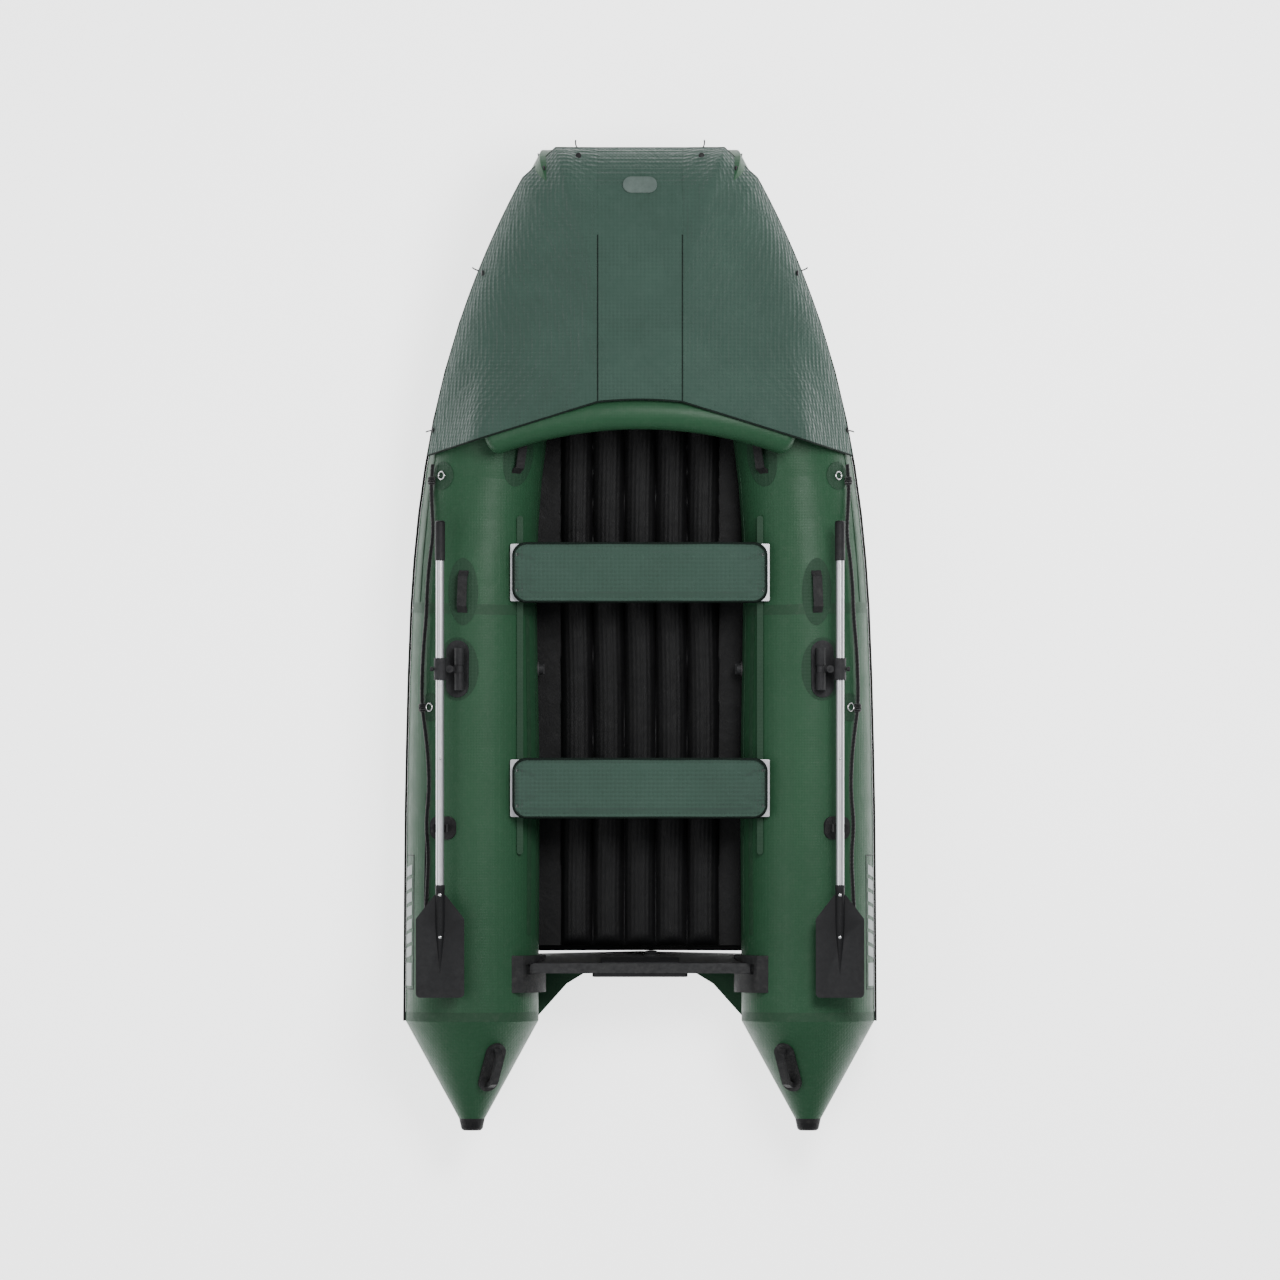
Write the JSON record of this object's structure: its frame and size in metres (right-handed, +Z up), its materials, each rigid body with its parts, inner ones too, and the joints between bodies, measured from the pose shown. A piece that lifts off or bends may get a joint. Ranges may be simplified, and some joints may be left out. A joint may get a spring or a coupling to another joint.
{
  "type": "inflatable motor dinghy",
  "caption": "Inflatable dinghy with a U-shaped tube hull, transom, bow dodger, air floor, sliding benches, stowed oars and lifelines.",
  "frame": {"origin": "on the ground under the middle of the hull", "axes": "+X to starboard, +Y to the bow, +Z up"},
  "size_m": [1.69, 3.5, 0.7371],
  "materials": {
    "hull_fabric": "semi-gloss coated fabric",
    "cloth": "matt woven cloth",
    "black_fabric": "satin coated fabric",
    "black_rubber": "matt moulded rubber",
    "black_plastic": "matt moulded plastic",
    "transom_ply": "black laminated plywood",
    "aluminium": "satin anodised",
    "stainless": "polished",
    "rope": "twisted rope",
    "badge": "moulded badge"
  },
  "bodies": {
    "hull": {"air_baffles": "hull_fabric", "air_floor": "black_fabric", "arch_tube": "hull_fabric", "bench_rails": "hull_fabric", "bottom_skin": "black_fabric", "bow_badge": "badge", "bow_tube": "hull_fabric", "carry_handles": "black_rubber", "cone_end_caps": "black_rubber", "d_ring_patches": "hull_fabric", "d_rings": "stainless", "dodger": "cloth", "drain_valve_body": "black_plastic", "inner_motor_plate": "black_plastic", "keel_tube": "black_fabric", "oar_holders": "black_rubber", "oarlock_pads": "black_rubber", "outer_motor_plate": "black_plastic", "port_lifeline": "rope", "port_side_tube": "hull_fabric", "port_stern_cone": "hull_fabric", "rub_strake": "black_rubber", "starboard_lifeline": "rope", "starboard_side_tube": "hull_fabric", "starboard_stern_cone": "hull_fabric", "stern_gussets": "hull_fabric", "stern_handles": "black_rubber", "transom_board": "transom_ply", "transom_holders": "black_rubber", "valve_bodies": "black_plastic"},
    "port_lock_arm": {"port_oarlock_arm": "black_plastic"},
    "port_oar": {"port_oar_sleeve": "black_plastic", "port_oar_grip": "black_plastic", "port_oar_upper_shaft": "aluminium", "port_oar_lower_shaft": "aluminium", "port_oar_blade": "black_plastic"},
    "port_wing": {"port_wing_screw": "black_plastic"},
    "port_button": {"port_snap_button": "stainless"},
    "port_cap": {"port_valve_cap": "black_plastic"},
    "port_pin": {"port_valve_pin": "black_plastic"},
    "starboard_lock_arm": {"starboard_oarlock_arm": "black_plastic"},
    "starboard_oar": {"starboard_oar_sleeve": "black_plastic", "starboard_oar_grip": "black_plastic", "starboard_oar_upper_shaft": "aluminium", "starboard_oar_lower_shaft": "aluminium", "starboard_oar_blade": "black_plastic"},
    "starboard_wing": {"starboard_wing_screw": "black_plastic"},
    "starboard_button": {"starboard_snap_button": "stainless"},
    "starboard_cap": {"starboard_valve_cap": "black_plastic"},
    "starboard_pin": {"starboard_valve_pin": "black_plastic"},
    "front_bench": {"front_bench_board": "aluminium", "front_bench_cushion": "cloth", "front_bench_clamps": "black_plastic"},
    "rear_bench": {"rear_bench_board": "aluminium", "rear_bench_cushion": "cloth", "rear_bench_clamps": "black_plastic"},
    "drain": {"drain_plug": "black_plastic"}
  },
  "joints": [
    {"name": "port_lock_tilt", "type": "hinge", "parent": "hull", "child": "port_lock_arm", "pos_m": [-0.642, -0.103, 0.5], "axis": [0, 1, 0], "range_deg": [0, 15]},
    {"name": "port_oar_swing", "type": "hinge", "parent": "port_lock_arm", "child": "port_oar", "pos_m": [-0.676, -0.103, 0.54], "axis": [0, 0, -1], "range_deg": [0, 90]},
    {"name": "port_wing_screw_turn", "type": "hinge", "parent": "port_oar", "child": "port_wing", "pos_m": [-0.74, -0.103, 0.54], "axis": [-1, 0, 0], "range_deg": [-180, 180]},
    {"name": "port_button_press", "type": "slide", "parent": "port_oar", "child": "port_button", "axis": [0, 0, -1], "range_m": [0, 0.004], "stiffness_N_per_m": 400, "springref_m": -0.0005},
    {"name": "port_cap_turn", "type": "hinge", "parent": "hull", "child": "port_cap", "pos_m": [-0.365, -0.103, 0.24309], "axis": [-1, 0, 0], "range_deg": [0, 120]},
    {"name": "port_pin_press", "type": "slide", "parent": "hull", "child": "port_pin", "axis": [-1, 0, 0], "range_m": [0, 0.004], "stiffness_N_per_m": 300, "springref_m": -0.0005},
    {"name": "starboard_lock_tilt", "type": "hinge", "parent": "hull", "child": "starboard_lock_arm", "pos_m": [0.642, -0.103, 0.5], "axis": [0, -1, 0], "range_deg": [0, 15]},
    {"name": "starboard_oar_swing", "type": "hinge", "parent": "starboard_lock_arm", "child": "starboard_oar", "pos_m": [0.676, -0.103, 0.54], "axis": [0, 0, 1], "range_deg": [0, 90]},
    {"name": "starboard_wing_screw_turn", "type": "hinge", "parent": "starboard_oar", "child": "starboard_wing", "pos_m": [0.74, -0.103, 0.54], "axis": [1, 0, 0], "range_deg": [-180, 180]},
    {"name": "starboard_button_press", "type": "slide", "parent": "starboard_oar", "child": "starboard_button", "axis": [0, 0, -1], "range_m": [0, 0.004], "stiffness_N_per_m": 400, "springref_m": -0.0005},
    {"name": "starboard_cap_turn", "type": "hinge", "parent": "hull", "child": "starboard_cap", "pos_m": [0.365, -0.103, 0.24309], "axis": [1, 0, 0], "range_deg": [0, 120]},
    {"name": "starboard_pin_press", "type": "slide", "parent": "hull", "child": "starboard_pin", "axis": [1, 0, 0], "range_m": [0, 0.004], "stiffness_N_per_m": 300, "springref_m": -0.0005},
    {"name": "front_bench_slide", "type": "slide", "parent": "hull", "child": "front_bench", "axis": [0, 1, 0], "range_m": [-0.12, 0.09]},
    {"name": "rear_bench_slide", "type": "slide", "parent": "hull", "child": "rear_bench", "axis": [0, 1, 0], "range_m": [-0.12, 0.12]},
    {"name": "drain_plug_turn", "type": "hinge", "parent": "hull", "child": "drain", "pos_m": [0.04, -1.1257, 0.1393], "axis": [0, -0.9945, -0.1045], "range_deg": [0, 270]}
  ]
}
